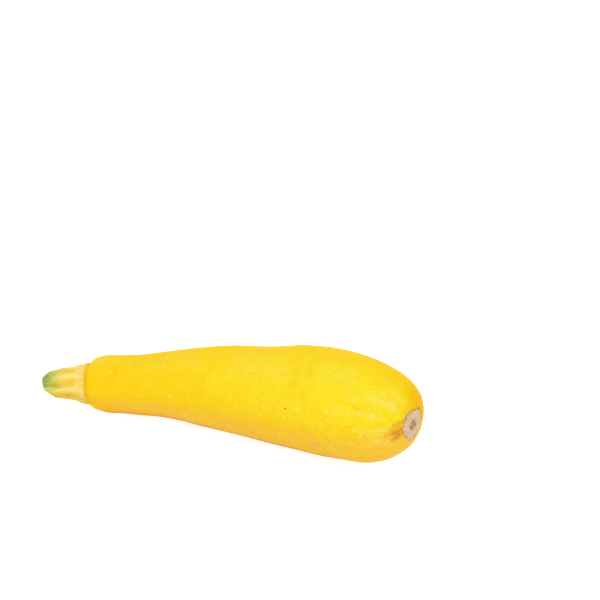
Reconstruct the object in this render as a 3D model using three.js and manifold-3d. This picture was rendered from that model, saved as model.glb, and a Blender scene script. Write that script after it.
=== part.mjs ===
// A yellow zucchini as picked, lying on a table: one solid fruit and its cut stem stub.
// Millimetres, +Z up. The stem points to -X, the blossom end to +X, and the table is z = 0.
//
// The fruit is a skin of rings along a spine. Seen from above the spine is an arc that bows
// to +Y, and it climbs from the thin neck to the thick belly, so that the underside lies
// along the table. The stem goes on from the neck along its own spine, which droops a little.
import * as THREE from "three";
import { mergeVertices } from "three/addons/utils/BufferGeometryUtils.js";
import Module from "manifold-3d";

const wasm = await Module();
wasm.setup();

// ---- Driving dimensions ----
const FRUIT_LENGTH = 163; // along the spine, from the stem joint to the scar's rim
const BOW = THREE.MathUtils.degToRad(32.4); // how far the spine turns over that length
const NECK_HEIGHT = 12.15; // the spine's height over the table at the stem joint
const CLIMB = THREE.MathUtils.degToRad(5.95); // the spine's slope up to the blossom end
const JOINT_GAP = 0.3; // between the stem's base and the fruit

// The fruit's outline: distance along the spine, and radius there. The last five points are
// the blossom scar: its rim, the groove inside it, the domed cork and the navel in its middle.
const FRUIT_OUTLINE = [
  [0, 9.7],
  [1.2, 10.4],
  [3, 11.9],
  [6, 13],
  [10, 13.65],
  [19, 13.9],
  [36, 15.45],
  [58, 18.7],
  [82, 21.4],
  [104, 23.5],
  [123, 24.4],
  [138, 23.1],
  [149, 20.6],
  [156.5, 16.4],
  [161, 10.6],
  [162.8, 7.1],
  [162.5, 6.6],
  [163.1, 4],
  [163.5, 1.5],
  [163.2, 0],
];
const RINGS_PER_POINT = 3;
const FRUIT_SECTORS = 44;

// The ribs of the stem run on down the fruit as broad lobes, and fade out on the way.
const RIBS = 7;
const RIB_TURN = THREE.MathUtils.degToRad(67); // where the first one stands, from +Y upwards
const LOBE_AT_NECK = 0.016; // as a share of the radius
const LOBE_AT_END = 0.004;

// The stem's outline: distance out from the joint, mean radius, and rib height as a share
// of that radius.
const STEM_OUTLINE = [
  [0, 9.5, 0.02],
  [1.6, 9.5, 0.03],
  [4.2, 8.7, 0.05],
  [7.4, 7.5, 0.065],
  [11.5, 6.9, 0.07],
  [16, 6.7, 0.06],
  [25, 6.6, 0.05],
];
const STEM_REACH = 25; // from the joint to the end of the stem's spine
const STEM_DROP = 2; // how far that end lies under the joint
const STEM_RINGS = 20;
const STEM_SECTORS = 42;

// The knife cut: how far out the cut plane crosses the stem's spine, and the way it faces.
const CUT_AT = 16.6;
const CUT_FACES = new THREE.Vector3(-0.8, 0.18, -0.57).normalize();

// ---- Spines ----

// A place on a spine, with the directions along it, sideways and upwards.
function frameAt(at, along) {
  const side = new THREE.Vector3(0, 0, 1).cross(along).normalize();
  const up = new THREE.Vector3().crossVectors(along, side);
  return { at, along, side, up };
}

const bowRadius = FRUIT_LENGTH / BOW;

function fruitFrame(distance) {
  const heading = BOW / 2 - distance / bowRadius;
  const at = new THREE.Vector3(
    bowRadius * (Math.sin(BOW / 2) - Math.sin(heading)),
    bowRadius * (Math.cos(heading) - Math.cos(BOW / 2)),
    NECK_HEIGHT + distance * Math.tan(CLIMB),
  );
  const along = new THREE.Vector3(
    Math.cos(heading) * Math.cos(CLIMB),
    Math.sin(heading) * Math.cos(CLIMB),
    Math.sin(CLIMB),
  );
  return frameAt(at, along);
}

const joint = fruitFrame(0);

// A place straight on from the joint, along the fruit's own line.
const outFromJoint = (distance) => joint.at.clone().addScaledVector(joint.along, -distance);

const stemSpine = new THREE.QuadraticBezierCurve3(
  joint.at,
  outFromJoint(STEM_REACH / 2),
  outFromJoint(STEM_REACH).setZ(NECK_HEIGHT - STEM_DROP),
);

function stemFrame(distance) {
  const share = distance / STEM_REACH;
  return frameAt(stemSpine.getPoint(share), stemSpine.getTangent(share).negate());
}

// ---- Skins ----

// A ring of points round a frame, where radiusAt gives the radius for each angle from +side.
function ring(frame, sectors, radiusAt) {
  const points = [];
  for (let i = 0; i < sectors; i++) {
    const angle = (i / sectors) * 2 * Math.PI;
    const radius = radiusAt(angle);
    points.push(
      frame.at
        .clone()
        .addScaledVector(frame.side, radius * Math.cos(angle))
        .addScaledVector(frame.up, radius * Math.sin(angle)),
    );
  }
  return points;
}

// A closed solid through rings of equally many points, with a fan over each end. The rings
// run along +along, with their points turning from +side to +up.
function skin(rings, firstMiddle, lastMiddle) {
  const sectors = rings[0].length;
  const points = [...rings.flat(), firstMiddle, lastMiddle];
  const first = points.length - 2;
  const last = points.length - 1;
  const index = [];
  for (let row = 0; row < rings.length - 1; row++) {
    for (let i = 0; i < sectors; i++) {
      const next = (i + 1) % sectors;
      const [a, b] = [row * sectors + i, row * sectors + next];
      index.push(a, b, a + sectors, b, b + sectors, a + sectors);
    }
  }
  const end = (rings.length - 1) * sectors;
  for (let i = 0; i < sectors; i++) {
    const next = (i + 1) % sectors;
    index.push(first, next, i, last, end + i, end + next);
  }
  const geometry = new THREE.BufferGeometry().setFromPoints(points);
  geometry.setIndex(index);
  return geometry;
}

// ---- Cuts ----

const MERGE_WITHIN = 1e-4; // points closer than this are one
const BLOCK = 1000; // a cutting block, larger than the whole zucchini

function toSolid(geometry) {
  const bare = geometry.clone();
  bare.deleteAttribute("normal");
  bare.deleteAttribute("uv");
  const merged = mergeVertices(bare, MERGE_WITHIN);
  return new wasm.Manifold(
    new wasm.Mesh({
      numProp: 3,
      vertProperties: merged.attributes.position.array,
      triVerts: new Uint32Array(merged.index.array),
    }),
  );
}

function toGeometry(solid) {
  const { vertProperties, triVerts } = solid.getMesh();
  const geometry = new THREE.BufferGeometry();
  geometry.setAttribute("position", new THREE.BufferAttribute(vertProperties, 3));
  geometry.setIndex(new THREE.BufferAttribute(triVerts, 1));
  return geometry;
}

// What is left of a geometry once everything beyond a plane is cut away.
function cutBeyond(geometry, at, normal) {
  const block = new THREE.BoxGeometry(BLOCK, BLOCK, BLOCK);
  block.translate(0, 0, BLOCK / 2);
  block.applyQuaternion(
    new THREE.Quaternion().setFromUnitVectors(new THREE.Vector3(0, 0, 1), normal),
  );
  block.translate(at.x, at.y, at.z);
  return toGeometry(toSolid(geometry).subtract(toSolid(block)));
}

// ---- Fruit ----

function makeFruit() {
  const outline = new THREE.SplineCurve(
    FRUIT_OUTLINE.map(([distance, radius]) => new THREE.Vector2(distance, radius)),
  ).getPoints((FRUIT_OUTLINE.length - 1) * RINGS_PER_POINT);
  const pole = outline.pop();
  const rings = outline.map(({ x: distance, y: radius }) => {
    const lobe = THREE.MathUtils.lerp(LOBE_AT_NECK, LOBE_AT_END, distance / FRUIT_LENGTH);
    return ring(
      fruitFrame(distance),
      FRUIT_SECTORS,
      (angle) => radius * (1 + lobe * Math.cos(RIBS * (angle - RIB_TURN))),
    );
  });
  const whole = skin(rings, joint.at, fruitFrame(pole.x).at);
  const table = new THREE.Vector3(0, 0, 0);
  const down = new THREE.Vector3(0, 0, -1);
  return cutBeyond(whole, table, down); // its own weight presses the skin flat there
}

// ---- Stem ----

function makeStem() {
  const outline = new THREE.CatmullRomCurve3(
    STEM_OUTLINE.map((row) => new THREE.Vector3(...row)),
    false,
    "catmullrom",
    0.5,
  ).getPoints(STEM_RINGS);
  const rings = outline.map(({ x: distance, y: radius, z: rib }) =>
    ring(
      stemFrame(distance),
      STEM_SECTORS,
      (angle) => radius * (1 + rib * Math.cos(RIBS * (angle - RIB_TURN))),
    ),
  );
  rings.reverse();
  const whole = skin(rings, stemFrame(STEM_REACH).at, joint.at);
  const clearOfFruit = joint.along.clone().multiplyScalar(-JOINT_GAP);
  whole.translate(clearOfFruit.x, clearOfFruit.y, clearOfFruit.z);
  return cutBeyond(whole, stemFrame(CUT_AT).at, CUT_FACES);
}

// ---- Assembly ----

const rindFinish = new THREE.MeshStandardMaterial({
  name: "rind",
  color: 0xfbd41f,
  roughness: 0.42,
  metalness: 0,
});
const stemFinish = new THREE.MeshStandardMaterial({
  name: "stem",
  color: 0xd9cf6e,
  roughness: 0.6,
  metalness: 0,
});

const fruit = new THREE.Mesh(makeFruit(), rindFinish);
fruit.name = "fruit";
const stem = new THREE.Mesh(makeStem(), stemFinish);
stem.name = "stem";

const zucchini = new THREE.Group();
zucchini.name = "yellow_zucchini";
zucchini.add(fruit, stem);

// The origin is on the table, under the middle of the whole zucchini.
const middle = new THREE.Box3().setFromObject(zucchini).getCenter(new THREE.Vector3());
zucchini.position.set(-middle.x, -middle.y, 0);

export default zucchini;
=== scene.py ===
"""A yellow zucchini, as picked, lying on a pale table.

Metres, +Z up. The stem points to -X, the blossom end to +X, and the table is z = 0. The fruit is a
closed skin of rings along a bowed spine, with the corky blossom scar seated in its end. The stem stub
is a closed skin of its own, with ribs, a knobbly collar and a knife cut.
"""

import math
from functools import cached_property, partial, reduce

import bmesh
import bpy
import numpy as np
from bpy.props import FloatProperty, FloatVectorProperty, IntProperty, PointerProperty
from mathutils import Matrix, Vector


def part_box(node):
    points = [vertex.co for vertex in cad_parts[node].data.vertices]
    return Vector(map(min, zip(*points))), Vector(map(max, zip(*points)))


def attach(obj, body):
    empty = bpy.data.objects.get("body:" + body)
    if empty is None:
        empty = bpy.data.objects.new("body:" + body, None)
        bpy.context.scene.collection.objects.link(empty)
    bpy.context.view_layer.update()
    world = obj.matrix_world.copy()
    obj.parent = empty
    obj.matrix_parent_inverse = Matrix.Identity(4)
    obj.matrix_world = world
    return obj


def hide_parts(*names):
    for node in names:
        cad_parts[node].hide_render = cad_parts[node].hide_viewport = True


bl_info = {
    "name": "Yellow Zucchini",
    "version": (1, 0, 0),
    "blender": (4, 5, 0),
    "location": "3D View > Sidebar > Zucchini",
    "description": "Builds a yellow zucchini with its stem stub and blossom scar on a pale table",
    "category": "Add Mesh",
}

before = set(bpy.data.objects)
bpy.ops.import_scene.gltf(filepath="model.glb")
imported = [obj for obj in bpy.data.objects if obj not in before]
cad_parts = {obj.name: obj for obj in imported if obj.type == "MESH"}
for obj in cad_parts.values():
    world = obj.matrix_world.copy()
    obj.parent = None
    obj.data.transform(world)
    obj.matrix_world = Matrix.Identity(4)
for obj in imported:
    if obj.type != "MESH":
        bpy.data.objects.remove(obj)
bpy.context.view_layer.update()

MM = 0.001

# ---- Outlines, in millimetres ----

# The fruit: distance along the spine from the stem joint, and radius there, up to the scar's rim.
FRUIT_OUTLINE = [
    (0, 9.7), (1.2, 10.4), (3, 11.9), (6, 13), (10, 13.65), (19, 13.9), (36, 15.45), (58, 18.7),
    (82, 21.4), (104, 23.5), (123, 24.4), (138, 23.1), (149, 20.6), (156.5, 16.4), (161, 10.9),
    (162.7, 7.45),
]
# The skin folds in under the stem's collar, from the middle of the fruit's end out to its lip.
NECK_FOLD = [(1.6, 0), (1.6, 7.6), (1.1, 8.8), (0.4, 9.3)]
# It ends in a shallow seat under the blossom scar.
SCAR_SEAT = [(162.75, 7), (162.3, 6.6), (162.2, 5.4), (162.2, 0)]
# The cork of the scar: its back, its rim and its domed face with the navel.
SCAR_OUTLINE = [
    (162.1, 0), (162.1, 5.9), (162.3, 6.5), (162.6, 6.9), (162.85, 6.7), (162.95, 5.9), (163.2, 4.2),
    (163.45, 1.8), (163.45, 0),
]

# The stem: distance out from the joint, mean radius, and rib height as a share of that radius.
STEM_OUTLINE = [
    (0, 9.5, 0.02), (1.6, 9.5, 0.03), (4.2, 8.7, 0.05), (7.4, 7.5, 0.065), (11.5, 6.9, 0.06),
    (16, 6.7, 0.035), (25, 6.6, 0.02),
]
# Its foot rounds off inside the fold of the skin.
STEM_FOOT = [(-1.2, 0, 0), (-1.2, 7.4, 0), (-0.9, 8.4, 0.01), (-0.4, 9.1, 0.015)]

# Slow swells and hollows of the fruit's skin: distance, reach along it, angle in degrees, height.
SWELLS = [
    (25, 10, 75, -0.95), (92, 10, 75, -0.5), (132, 17, 75, 0.65), (5, 4, 232, -0.45), (27, 10, 232, 0.3),
    (48, 6, 232, -0.3), (86, 28, 230, 0.55), (144, 9, 230, 0.9), (110, 9, 105, -0.28), (160, 5, 60, 0.8),
    (159, 5, 0, 0.5), (159, 5, 262, -0.5), (104, 8, 76, 0.72), (80, 8, 75, -0.38),
    (161, 3, 320, -0.5), (146, 7, 64, -0.4), (115, 6, 68, 0.24),
]
SWELL_TURN = 0.5  # how far each one reaches round the fruit, in radians

RIBS = 7  # on the stem, and the fruit's lobes run on from them
RIB_TURN = math.radians(67)  # where the first rib stands, from +Y upwards
RIB_TWIST = 3  # how far the stem's ribs turn, in radians a metre
BELLY_RADIUS = 24 * MM  # where the fruit's flats are at their full height
GRAIN_RADIUS = 20 * MM  # of the even tube that the skin is unrolled on
CAD_ROWS, CAD_SECTORS = 3, 44  # the CAD fruit's rows on each stretch of its outline, and its sectors
RIND_SPACING = 0.62 * MM  # between the rings of the fruit's skin
CORK_SPACING = 0.16 * MM  # between the rings of the scar
CONTACT_SOFTNESS = 0.08 * MM  # of the edge of the skin's contact with the table
TORN_WIDTH = 1.5 * MM  # how far the scuff's edges are torn about
SENSOR_WIDTH = 36  # the camera's, in millimetres

# ---- Marks on the rind: distance in mm and angle in degrees ----

# Pale flecks, by how strong they are: distance, angle, length, width.
FLECKS = {
    0.5: [
        (147.5, 152, 1.9, 1.6), (153.2, 152, 2.6, 1.6), (132.2, 156.5, 2.3, 1.4),
        (146.3, 172.5, 2.6, 1.2), (155.5, 189.5, 2.4, 1.4), (45.8, 167.5, 2.2, 1.2),
    ],
    0.36: [
        (14, 128, 1.3, 1), (18.3, 123, 1.6, 1), (28.5, 173, 1.9, 1.1), (41.2, 117, 1.5, 1.5),
        (82, 169.5, 1.8, 1.4), (95.2, 174, 1.8, 1.1), (104.3, 157.5, 1.9, 1.1), (117, 160, 2.6, 1.1),
        (130, 171, 1.9, 1.3), (142.8, 155, 2.1, 1.5), (134.3, 192.5, 2, 1.3), (157, 153, 1.1, 1),
        (69, 135, 1.5, 1.2), (115.8, 204.5, 2.4, 1), (12.5, 166, 1.1, 0.9),
    ],
    0.2: [
        (39, 192, 1.6, 1), (40, 94, 2.4, 1), (54.5, 191, 1.8, 1.2), (58, 131, 1.3, 1),
        (65.5, 140, 1.5, 1.1), (66.8, 160, 1.2, 0.9), (83.3, 176.5, 1.5, 1.1), (83.5, 155, 1.2, 1),
        (80, 186.5, 1.6, 1.2), (91, 173.5, 1.4, 1.1), (93.8, 159, 1.4, 1.1), (96.5, 124.5, 1.6, 1.2),
        (108.8, 125, 2, 1.1), (104.8, 195.5, 1.9, 1), (107.2, 192, 1.4, 1), (109.2, 172, 1.8, 1.1),
        (96.2, 207, 2, 1.4), (123.2, 155.5, 1.8, 1.1), (126, 169.5, 1.6, 1), (136, 158, 2, 1),
        (132.5, 181, 2, 1), (125.5, 189.5, 1.4, 1.1), (157.5, 200, 1.3, 1.5), (15.5, 193, 1.5, 1),
    ],
}
# Longer pale streaks, some of them painted sheen lines at the blossom end and beside the scuff: start,
# end, width, strength, as in every list below but the spots.
PALE_STREAKS = [
    ((139.5, 117.5), (143.7, 120.3), 1.2, 0.35), ((152, 179), (156.5, 178), 1, 0.35),
    ((153, 181.5), (157, 180), 0.9, 0.35), ((157.5, 173), (159.3, 165), 0.9, 0.35),
    ((154, 134), (156, 128), 0.8, 0.35), ((156.2, 127.5), (158.8, 126), 0.8, 0.35),
    ((151.5, 182), (153.5, 184), 0.7, 0.35),
]
# Small dark pits and spots: distance, angle, length, width, strength.
SPOTS = [
    (110.3, 162, 1.1, 0.95, 1), (143.6, 122.8, 1.1, 0.6, 0.45), (77.2, 151, 0.8, 0.8, 0.22),
    (57.6, 165.5, 1.2, 0.9, 0.2), (58, 102, 1.1, 1, 0.16), (118.4, 116, 1.2, 1, 0.13),
    (98, 204, 1.6, 0.9, 0.25), (127.7, 178, 1.1, 0.8, 0.18), (137.8, 184.5, 1.3, 0.7, 0.12),
    (65.5, 160.5, 1, 0.7, 0.14), (88.5, 208, 2.2, 0.8, 0.18), (69.5, 205, 1.5, 0.8, 0.14),
    (140, 148, 1.4, 0.8, 0.08), (134.5, 147.5, 1.6, 0.8, 0.07), (82, 180, 3.4, 1.6, 0.06),
]
# Fine scratches.
SCRATCHES = [
    ((150.4, 178), (152, 189), 1.2, 0.55), ((152, 189), (153.2, 198), 1.2, 0.45),
    ((153.2, 198), (155.3, 207), 1.2, 0.32), ((128.4, 187), (133.6, 209), 0.9, 0.38),
    ((131.8, 185), (136.4, 202), 0.9, 0.5), ((134.6, 191), (137.8, 209), 0.8, 0.36),
    ((124.4, 200), (126.8, 203.5), 1.1, 0.5), ((86.5, 130.5), (90, 127), 0.6, 0.2),
    ((89.5, 132), (92.5, 132), 0.5, 0.24), ((137, 186), (141, 199), 0.6, 0.2),
    ((139, 206), (147, 219), 0.8, 0.26), ((156.6, 181), (158.8, 177.5), 0.7, 0.5),
    ((156.8, 175), (159.3, 170.5), 0.7, 0.4),
]
# A pinkish bruise on the low side, and the fainter track that leads to it.
BRUISE = [((122.4, 198), (124, 200), 4.4, 0.7), ((120.8, 180), (122.4, 192), 2.4, 0.1)]
# The scuff beside the scar.
SCUFF = [
    ((162.8, 141), (160.6, 160), 3.8, 0.5), ((162.8, 158), (159.4, 169), 3.4, 0.35),
    ((162.8, 170), (160.4, 180), 5, 0.5), ((162.4, 178), (160, 193), 5, 0.45),
    ((162.4, 171), (157.8, 181.5), 2, 0.45), ((162.8, 164), (160.8, 178), 11, 0.22),
]
# The broken skin in the scuff.
SCUFF_CORE = [
    ((161.8, 181), (160.9, 190), 3, 0.4), ((162.4, 170), (160.8, 176), 2.4, 0.4),
    ((161, 172), (160.4, 178), 2.6, 0.35), ((162.6, 182), (162.2, 190), 1.6, 0.25),
    ((161.6, 189), (160.8, 192), 2.2, 0.35),
]
# Painted sheen in paler patches, streaky along the zucchini.
PAINTED_SHEEN = [
    ((38, 115), (58, 114), 14, 0.05), ((80, 121), (103, 122), 20, 0.06),
    ((126, 115), (137, 116), 15, 0.06), ((141, 137), (150, 134), 6, 0.1),
    ((150, 131), (155, 125), 9, 0.14), ((155, 130), (159, 126.5), 5, 0.26),
    ((155, 118), (158.4, 111), 7, 0.14), ((150, 177), (158, 173), 7, 0.18),
    ((153, 190), (158, 192), 8, 0.12), ((136, 154), (156, 151), 6, 0.07), ((4, 85), (10, 90), 8, 0.2),
    ((20, 206), (80, 208), 8, 0.05),
]
# Where the skin is a little deeper in colour: painted shade in a shallow dent and along the low side of
# the neck, a painted warm reflection along the top, and blotches.
DEEP = [
    ((107, 104), (112, 132), 10, 0.3), ((118, 106), (119, 120), 9, 0.3), ((46, 160), (70, 162), 8, 0.2),
    ((122, 183), (128, 203), 9, 0.4), ((20, 122), (13, 148), 9, 0.2), ((108, 150), (121, 140), 7, 0.25),
    ((68, 196), (92, 199), 7, 0.2), ((140, 200), (148, 212), 8, 0.3), ((4, 200), (12, 210), 14, 0.75),
    ((6, 222), (48, 226), 14, 0.95), ((90, 66), (150, 64), 14, 0.25), ((161.6, 167), (159, 178), 6, 0.9),
]
STEM_SPOT = (10.3, 201)  # a small dark spot on the stem: distance out from the joint, and angle


# ---- Curves and spines ----


def smooth_curve(points, steps):
    """Points on a smooth curve through the given ones, with so many steps on each stretch."""
    points = np.array(points, float)
    padded = np.vstack([points[:1], points, points[-1:]])
    share = np.linspace(0, 1, steps, endpoint=False)[:, None]
    rows = []
    for before, start, end, after in zip(padded, padded[1:], padded[2:], padded[3:]):
        leave = (end - before) / 2
        arrive = (after - start) / 2
        rows.append(
            start
            + leave * share
            + (3 * (end - start) - 2 * leave - arrive) * share**2
            + (2 * (start - end) + leave + arrive) * share**3
        )
    return np.vstack([*rows, points[-1:]])


def spread_evenly(curve, spacing):
    """The same curve with its points about spacing apart, and each point's reach from the first."""
    steps = np.linalg.norm(np.diff(curve[:, :2], axis=0), axis=1)
    reach = np.concatenate([[0], np.cumsum(steps)])
    places = np.linspace(0, reach[-1], round(reach[-1] / spacing) + 1)
    return np.stack([np.interp(places, reach, column) for column in curve.T], axis=1), places


def unit(vectors):
    return vectors / np.linalg.norm(vectors, axis=-1, keepdims=True)


def fruit_spine(fruit, distance):
    """Places on the fruit's spine and the directions along it, before it is moved into the frame."""
    bow_radius = fruit.length / fruit.bow
    heading = fruit.bow / 2 - distance / bow_radius
    at = np.stack(
        [
            bow_radius * (math.sin(fruit.bow / 2) - np.sin(heading)),
            bow_radius * (np.cos(heading) - math.cos(fruit.bow / 2)),
            fruit.neck_height + distance * math.tan(fruit.climb),
        ],
        axis=-1,
    )
    level = math.cos(fruit.climb)
    rise = np.full_like(distance, math.sin(fruit.climb))
    return at, np.stack([np.cos(heading) * level, np.sin(heading) * level, rise], axis=-1)


def stem_spine(fruit, stem, distance):
    """Places on the stem's spine, out from the joint, with the direction back towards the fruit."""
    at, along = fruit_spine(fruit, np.zeros(1))
    start = at[0]
    bend = start - along[0] * stem.reach / 2
    end = start - along[0] * stem.reach
    end[2] = fruit.neck_height - stem.drop
    share = (distance / stem.reach)[..., None]
    place = start * (1 - share) ** 2 + bend * 2 * share * (1 - share) + end * share**2
    outwards = (bend - start) * (1 - share) + (end - bend) * share
    return place, unit(-outwards)


def place_sections(at, along, across, upwards):
    """Points of the sections that stand across a spine, from their own two measures."""
    side = unit(np.cross([0, 0, 1], along))
    up = np.cross(along, side)
    return at + across[..., None] * side + upwards[..., None] * up


def round_section(radius, angle):
    return radius * np.cos(angle), radius * np.sin(angle)


def angles_round(sectors):
    """The angles of a ring's points, from +Y upwards."""
    return np.linspace(0, math.tau, sectors + 1)[:-1]


def bell(value, middle, reach):
    return np.exp(-(((value - middle) / reach) ** 2))


def ramp(value, start, end):
    """0 before start and 1 after end, with a smooth rise between."""
    share = np.clip((value - start) / (end - start), 0, 1)
    return share * share * (3 - 2 * share)


def bell_round(angle, degrees, reach):
    """A bell over the angle, with its middle at so many degrees and the short way round to it."""
    turned = (angle - math.radians(degrees) + math.pi) % math.tau - math.pi
    return bell(turned, 0, reach)


def wobble(points, size, seed, waves=9):
    """A smooth irregular value, mostly between -1 and 1, with features of about that size."""
    random = np.random.default_rng(seed)
    total = np.zeros(points.shape[:-1])
    for _ in range(waves):
        way = unit(random.normal(size=3)) * random.uniform(0.6, 1.4) * math.tau / size
        total += np.sin(points @ way + random.uniform(0, math.tau))
    return total / math.sqrt(waves)


# ---- Fruit ----


def lobes(fruit, distance, angle):
    """How much the lobes raise the radius, as a share of it."""
    share = np.clip(distance / fruit.length, 0, 1)
    height = fruit.lobe_at_neck + (fruit.lobe_at_end - fruit.lobe_at_neck) * share
    return height * np.cos(RIBS * (angle - RIB_TURN))


def fruit_relief(fruit, distance, radius, angle):
    """The grown unevenness of the skin in millimetres, on top of its lobes."""
    girth = radius / BELLY_RADIUS
    flats = 0.28 * np.sin(2 * angle + 0.9 + distance / 0.06)
    flats += 0.2 * np.sin(3 * angle + 2.2 - distance / 0.05)
    pleats = 0.2 * bell(distance, 5 * MM, 4 * MM) * np.cos(RIBS * (angle - RIB_TURN) + np.sin(2 * angle))
    veins = np.cos(19 * angle + 1.3 * np.sin(3 * angle)) + np.cos(31 * angle + 2 * np.sin(2 * angle))
    vein_height = 0.05 * np.exp(-distance / 0.03) + 0.012
    pucker = 0.1 * np.exp(-np.clip(fruit.length - distance, 0, 1) / 0.002) * np.cos(27 * angle)
    swells = sum(
        height * bell(distance, middle * MM, reach * MM) * bell_round(angle, side, SWELL_TURN)
        for middle, reach, side, height in SWELLS
    )
    low_spots = 0.12 * wobble(straight_places(distance, radius, angle), 22 * MM, seed=5)
    return flats * girth + pleats + veins * vein_height + pucker + swells + low_spots


def straight_places(distance, radius, angle):
    """Places on the same zucchini if it lay straight along X, where the finishes measure from."""
    return np.stack([distance, radius * np.cos(angle), radius * np.sin(angle)], axis=-1)


def unrolled_places(reach, angle):
    """Places on a tube of even width, so that grain keeps to the lines that the skin grew along."""
    reach, angle = np.broadcast_arrays(reach, angle)
    return np.stack([reach, GRAIN_RADIUS * np.cos(angle), GRAIN_RADIUS * np.sin(angle)], axis=-1)


def rest_on_table(points):
    """Presses whatever is under the table flat on it, with a soft edge round the contact."""
    height = points[..., 2]
    points[..., 2] = (height + np.sqrt(height * height + CONTACT_SOFTNESS * CONTACT_SOFTNESS)) / 2
    return points


def frame_shift(fruit):
    """How far the spine's own origin lies from the frame's, from the corner of the fruit's box."""
    distance, radius, angle = ring_grid(smooth_curve(FRUIT_OUTLINE, CAD_ROWS) * MM, CAD_SECTORS)
    across, upwards = round_section(radius * (1 + lobes(fruit, distance, angle)), angle)
    lowest = place_sections(*fruit_spine(fruit, distance), across, upwards).min(axis=(0, 1))
    corner = np.array(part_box("fruit")[0])
    return np.array([corner[0] - lowest[0], corner[1] - lowest[1], 0])


def ring_grid(outline, sectors):
    """Distance, radius and angle of every point of the rings."""
    distance, angle = np.meshgrid(outline[:, 0], angles_round(sectors), indexing="ij")
    return distance, np.repeat(outline[:, 1:2], sectors, axis=1), angle


def place_by_scar(fruit, scar, distance, across, upwards):
    """Places sections on the fruit's spine, led over to the scar, which is aslant and off centre."""
    share = ramp(distance, fruit.length - 6 * MM, fruit.length - 0.3 * MM)
    radius = np.hypot(across, upwards)
    angle = np.arctan2(upwards, across)
    corners = 0.045 * np.cos(5 * angle - 2.9) + 0.05 * np.cos(2 * angle + 0.3)
    corners += 0.02 * np.cos(3 * angle - 1.2)
    cornered = 1 + corners * ramp(distance, fruit.length - 3 * MM, fruit.length - 0.4 * MM)
    across, upwards = across * cornered, upwards * cornered
    far_side = 0.5 + 0.5 * np.cos(angle - 0.2)
    lip = 0.8 * MM * bell(radius, 12 * MM, 4 * MM) * far_side * ramp(distance, 0.15, 0.158)
    at, along = fruit_spine(fruit, distance + lip - share * scar.slant * across)
    return place_sections(at, along, across + share * scar.aside, upwards - share * scar.drop)


def fruit_rings(fruit, scar):
    """The skin as rows of points, with its straight and unrolled places and its raised parts."""
    outline = smooth_curve(NECK_FOLD + FRUIT_OUTLINE + SCAR_SEAT, 40) * MM
    outline, reach = spread_evenly(outline, RIND_SPACING)
    distance, radius, angle = ring_grid(outline, fruit.sectors)
    relief = fruit_relief(fruit, distance, radius, angle)
    exposed = ramp(reach, 9.4 * MM, 10.6 * MM) * ramp(reach[-1] - reach, 6.9 * MM, 8.5 * MM)
    grown = radius * (1 + lobes(fruit, distance, angle)) + exposed[:, None] * relief * MM
    points = rest_on_table(place_by_scar(fruit, scar, distance, *round_section(grown, angle)))
    straight = straight_places(distance, radius, angle)
    unrolled = unrolled_places(reach[:, None], angle)
    return points + frame_shift(fruit), straight, unrolled, relief


def scar_rings(fruit, scar):
    """The scar's cork as rows of points: a notched rim, a domed face and a ragged navel."""
    outline, reach = spread_evenly(smooth_curve(SCAR_OUTLINE, 30) * MM, CORK_SPACING)
    distance, radius, angle = ring_grid(outline, scar.sectors)
    on_face = ramp(reach, 6.4 * MM, 7 * MM)[:, None]
    straight = straight_places(distance, radius, angle)
    uneven = 0.5 * np.sin(3 * angle + 1) + 0.8 * np.sin(7 * angle) + 0.6 * np.sin(11 * angle + 2)
    teeth = np.cos(23 * angle + uneven) + 0.35 * np.cos(9 * angle + 1)
    teeth = teeth * (0.65 - 0.35 * np.cos(angle))
    at_rim = bell(radius, 6.7 * MM, 0.65 * MM)
    ragged = 0.35 * np.sin(3 * angle + 0.4) + 0.25 * np.sin(5 * angle + 2) + 0.2 * np.sin(8 * angle)
    broken = 0.7 + 0.3 * np.cos(3 * angle + 1.2) + 0.3 * np.cos(2 * angle)
    ring = bell(radius + MM * ragged, 1.8 * MM, 0.55 * MM) * broken
    navel = ring + 0.45 * bell(radius, 0, 1.6 * MM)
    cork = wobble(straight, 1.5 * MM, seed=3) + 0.6 * wobble(straight, 0.7 * MM, seed=4)
    raised = on_face * (0.3 * cork + 0.9 * at_rim * teeth - 1.1 * navel)
    across, upwards = round_section(radius * (1 + 0.02 * at_rim * teeth), angle)
    points = place_by_scar(fruit, scar, distance + 0.2 * MM * raised, across, upwards)
    return points + frame_shift(fruit), straight, unrolled_places(radius, angle), raised


# ---- Stem ----


def rib_shape(distance, angle):
    """The stem's section between its valleys and its rounded ribs, from about -1 to 1."""
    turned = RIBS * (angle - RIB_TURN - RIB_TWIST * distance)
    uneven = 1 + 0.25 * np.sin(2 * angle + 0.6) + 0.15 * np.sin(3 * angle)
    return 0.85 * uneven * (np.cos(turned) + 0.28 * np.cos(2 * turned))


def collar_knobs(distance, angle):
    """The row of small knobs where the stem spreads over the fruit, from about -1 to 1."""
    row = np.cos(19 * angle + 2 * np.sin(3 * angle)) * (1 + 0.5 * np.sin(5 * angle + 2))
    second_row = np.cos(23 * angle + 2 * np.sin(4 * angle + 1)) * (1 + 0.5 * np.sin(3 * angle))
    return bell(distance, 2 * MM, 0.9 * MM) * row + 0.6 * bell(distance, 4.1 * MM, 0.9 * MM) * second_row


def stem_radius(distance, angle):
    """The stem's radius: its outline, its ribs, the fine ridges on them and the collar's knobs."""
    curve = smooth_curve(STEM_FOOT[1:] + STEM_OUTLINE, 12)
    mean, rib = (np.interp(distance / MM, curve[:, 0], column) for column in curve[:, 1:].T)
    ridges = np.cos(33 * angle + np.sin(4 * angle)) + 0.7 * np.cos(52 * angle + 1 + 60 * distance)
    grown = 0.09 * ramp(distance, 3 * MM, 7 * MM) * ridges + 0.24 * collar_knobs(distance, angle)
    return MM * (mean * (1 + rib * rib_shape(distance, angle)) + grown)


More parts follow.
